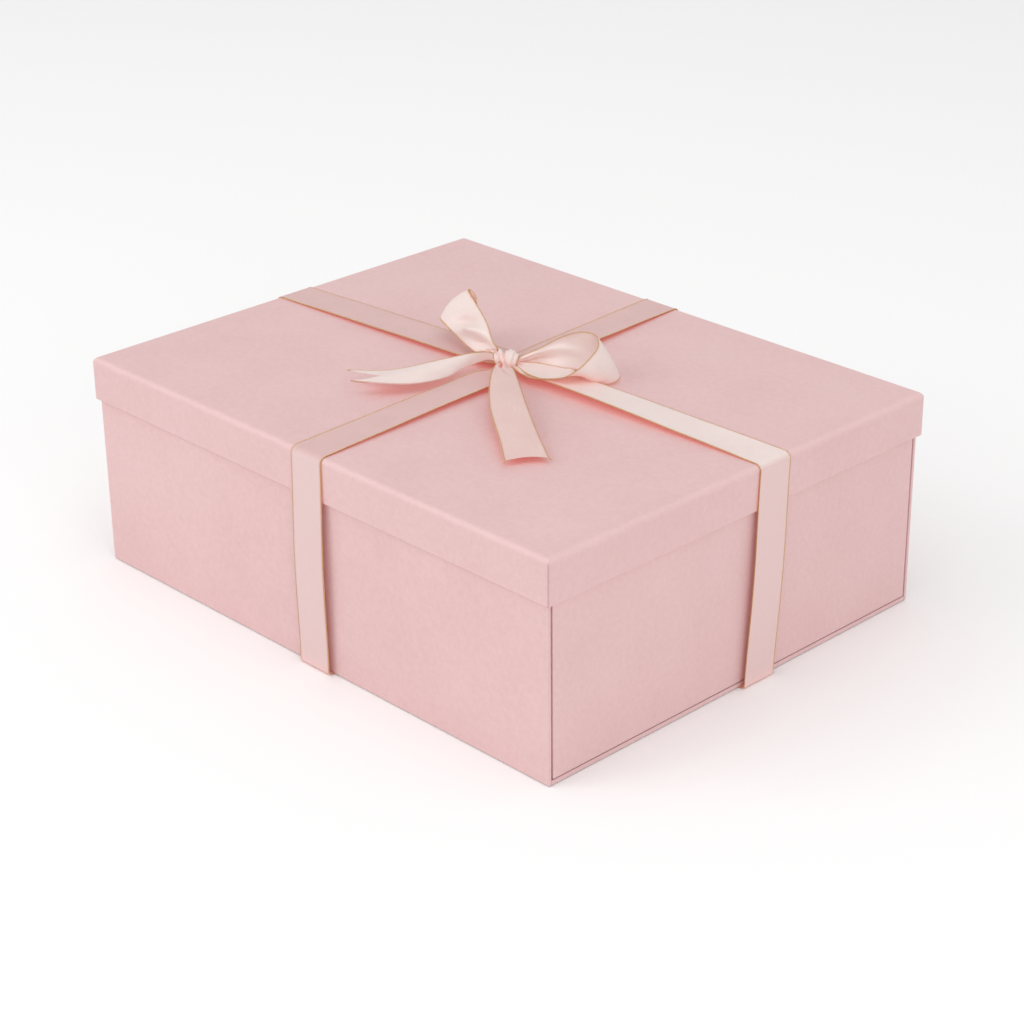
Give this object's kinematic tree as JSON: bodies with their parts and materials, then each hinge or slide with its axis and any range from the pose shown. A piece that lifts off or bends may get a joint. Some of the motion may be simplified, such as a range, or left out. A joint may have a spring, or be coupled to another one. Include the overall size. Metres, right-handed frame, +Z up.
{
  "type": "gift box",
  "caption": "Rectangular wrapped-board gift box with a lift-off lid and a satin ribbon tied over it in a bow.",
  "frame": {"origin": "centre of the box in plan, on the surface that the box stands on", "axes": "+X along the box's long side, the front long wall faces -Y, +Z up"},
  "size_m": [0.3214, 0.2534, 0.1385],
  "materials": {
    "base_board": "grey chipboard, rough",
    "lid_board": "grey chipboard, rough",
    "base_paper": "pale pink pearl paper, fine embossed grain, soft sheen",
    "lid_paper": "pale pink pearl paper, fine embossed grain, soft sheen",
    "lining_paper": "off-white uncoated paper, matte",
    "stay_paper": "white gummed paper, matte",
    "tab_card": "thin card wrapped in pale pink paper",
    "adhesive": "double-sided tape, matte",
    "satin": "blush satin ribbon with twisted metallic gold thread along both edges"
  },
  "bodies": {
    "base": {"base_board": "base_board", "front_wall_board": "base_board", "back_wall_board": "base_board", "left_end_board": "base_board", "right_end_board": "base_board", "base_wrap": "base_paper", "left_end_wrap": "base_paper", "right_end_wrap": "base_paper", "base_lining": "lining_paper", "left_end_lining": "lining_paper", "right_end_lining": "lining_paper", "front_left_tab": "tab_card", "front_right_tab": "tab_card", "back_left_tab": "tab_card", "back_right_tab": "tab_card", "tab_glue": "adhesive", "ribbon_under_long": "satin", "ribbon_under_short": "satin"},
    "lid": {"lid_top_board": "lid_board", "lid_front_rim": "lid_board", "lid_back_rim": "lid_board", "lid_left_rim": "lid_board", "lid_right_rim": "lid_board", "lid_corner_stays": "stay_paper", "lid_wrap": "lid_paper", "lid_lining": "lining_paper"},
    "ribbon": {"ribbon_left_arm": "satin", "ribbon_right_arm": "satin", "ribbon_front_arm": "satin", "ribbon_back_arm": "satin", "ribbon_left_strap": "satin", "ribbon_right_strap": "satin", "ribbon_front_strap": "satin", "ribbon_back_strap": "satin", "bow_knot": "satin", "bow_left_loop": "satin", "bow_right_loop": "satin", "bow_left_tail": "satin", "bow_front_tail": "satin"}
  },
  "joints": [
    {"name": "lid_lift", "type": "slide", "parent": "base", "child": "lid", "axis": [0, 0, 1], "range_m": [0, 0.13]},
    {"name": "ribbon_lift", "type": "slide", "parent": "lid", "child": "ribbon", "axis": [0, 0, 1], "range_m": [0, 0.13]}
  ]
}
